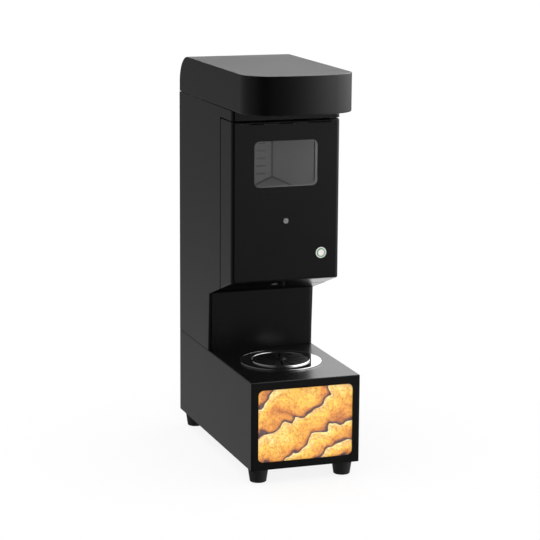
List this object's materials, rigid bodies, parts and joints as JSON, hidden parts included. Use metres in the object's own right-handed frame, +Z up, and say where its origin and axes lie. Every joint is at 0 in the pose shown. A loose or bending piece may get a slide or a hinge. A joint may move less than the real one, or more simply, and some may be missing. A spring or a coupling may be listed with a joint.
{
  "type": "nacho cheese dispenser",
  "caption": "Countertop warmer that pumps heated cheese sauce through an outlet over a round drip tray, with a lift-up door, push button and backlit picture panel.",
  "frame": {"origin": "on the counter, below the middle of the cabinet's footprint", "axes": "+X to the right as seen from the front, +Y to the back, +Z up; the front faces -Y"},
  "size_m": [0.21, 0.45, 0.742],
  "materials": {
    "black_paint": "satin black powder coat",
    "gloss_black": "gloss black",
    "black_plastic": "satin black",
    "black_rubber": "matt black",
    "steel": "brushed stainless",
    "zinc": "zinc plated",
    "chrome": "polished",
    "aluminium": "satin",
    "white_plastic": "white",
    "clear_plastic": "clear acrylic",
    "smoked_glass": "smoked",
    "picture": "printed film",
    "silicone": "translucent silicone",
    "insulation": "mineral wool",
    "circuit_green": "circuit board",
    "green_light": "lit green ring",
    "grey_lens": "grey lens",
    "brass": "plain"
  },
  "bodies": {
    "cabinet": {"backlight_board": "white_plastic", "bag_connector": "white_plastic", "base_bottom_plate": "zinc", "base_housing": "black_paint", "base_rear_panel": "black_paint", "catch_magnets": "zinc", "chamber_liner": "steel", "chamber_top": "zinc", "control_board": "circuit_green", "door_seal": "black_rubber", "fan_cover": "zinc", "fan_motor": "steel", "foot_front_left": "black_rubber", "foot_front_right": "black_rubber", "foot_rear_left": "black_rubber", "foot_rear_right": "black_rubber", "front_bulkhead": "zinc", "heater_element": "steel", "hinge_leaf_housing": "zinc", "hinge_pin": "steel", "hopper_floor": "steel", "inlet_pin_earth": "brass", "inlet_pin_live": "brass", "inlet_pin_neutral": "brass", "insulation_left": "insulation", "insulation_right": "insulation", "lid": "black_paint", "light_box": "white_plastic", "main_housing": "black_paint", "mains_inlet": "black_plastic", "outlet_nozzle": "black_plastic", "picture_cover": "clear_plastic", "picture_print": "picture", "power_supply": "aluminium", "power_switch_frame": "black_plastic", "pump_body": "white_plastic", "pump_gearmotor": "steel", "pump_tube": "silicone", "rear_cover": "black_paint", "spout_collar": "steel", "tray_disc": "gloss_black", "tray_ring": "chrome", "underside_panel": "black_paint"},
    "door": {"door_shell": "black_paint", "door_window": "smoked_glass", "window_gasket": "black_rubber", "door_inner_panel": "steel", "hinge_leaf_door": "zinc", "button_housing": "aluminium", "button_light_ring": "green_light", "indicator_lens": "grey_lens"},
    "button": {"button_cap": "aluminium"},
    "rocker": {"power_switch_rocker": "black_plastic"},
    "drip_bowl": {"drip_bowl": "black_plastic"},
    "drip_grate": {"drip_grate": "black_plastic"},
    "rotor": {"pump_rotor": "black_plastic"},
    "roller_1": {"pump_roller_1": "steel"},
    "roller_2": {"pump_roller_2": "steel"},
    "roller_3": {"pump_roller_3": "steel"},
    "fan": {"fan_impeller": "aluminium"}
  },
  "joints": [
    {"name": "door_swing", "type": "hinge", "parent": "cabinet", "child": "door", "pos_m": [0, -0.1044, 0.647], "axis": [-1, 0, 0], "range_deg": [0, 100]},
    {"name": "button_press", "type": "slide", "parent": "door", "child": "button", "axis": [0, 1, 0], "range_m": [0, 0.002], "stiffness_N_per_m": 400, "springref_m": -0.002},
    {"name": "rocker_tilt", "type": "hinge", "parent": "cabinet", "child": "rocker", "pos_m": [-0.052, 0.2153, 0.064], "axis": [1, 0, 0], "range_deg": [0, 18]},
    {"name": "bowl_lift", "type": "slide", "parent": "cabinet", "child": "drip_bowl", "axis": [0, 0, 1], "range_m": [0, 0.06]},
    {"name": "grate_lift", "type": "slide", "parent": "drip_bowl", "child": "drip_grate", "axis": [0, 0, 1], "range_m": [0, 0.03]},
    {"name": "rotor_spin", "type": "hinge", "parent": "cabinet", "child": "rotor", "pos_m": [0, -0.084, 0.40307], "axis": [0, 1, 0], "continuous": true},
    {"name": "roller_1_spin", "type": "hinge", "parent": "rotor", "child": "roller_1", "pos_m": [-0.016, -0.084, 0.40307], "axis": [0, 1, 0], "continuous": true},
    {"name": "roller_2_spin", "type": "hinge", "parent": "rotor", "child": "roller_2", "pos_m": [0.008, -0.084, 0.38921], "axis": [0, 1, 0], "continuous": true},
    {"name": "roller_3_spin", "type": "hinge", "parent": "rotor", "child": "roller_3", "pos_m": [0.008, -0.084, 0.41692], "axis": [0, 1, 0], "continuous": true},
    {"name": "fan_spin", "type": "hinge", "parent": "cabinet", "child": "fan", "pos_m": [0, 0.075, 0.655], "axis": [0, 0, 1], "continuous": true}
  ],
  "couplings": [
    {"joint": "roller_1_spin", "follows": "rotor_spin", "ratio": -3.6667},
    {"joint": "roller_2_spin", "follows": "rotor_spin", "ratio": -3.6667},
    {"joint": "roller_3_spin", "follows": "rotor_spin", "ratio": -3.6667}
  ]
}
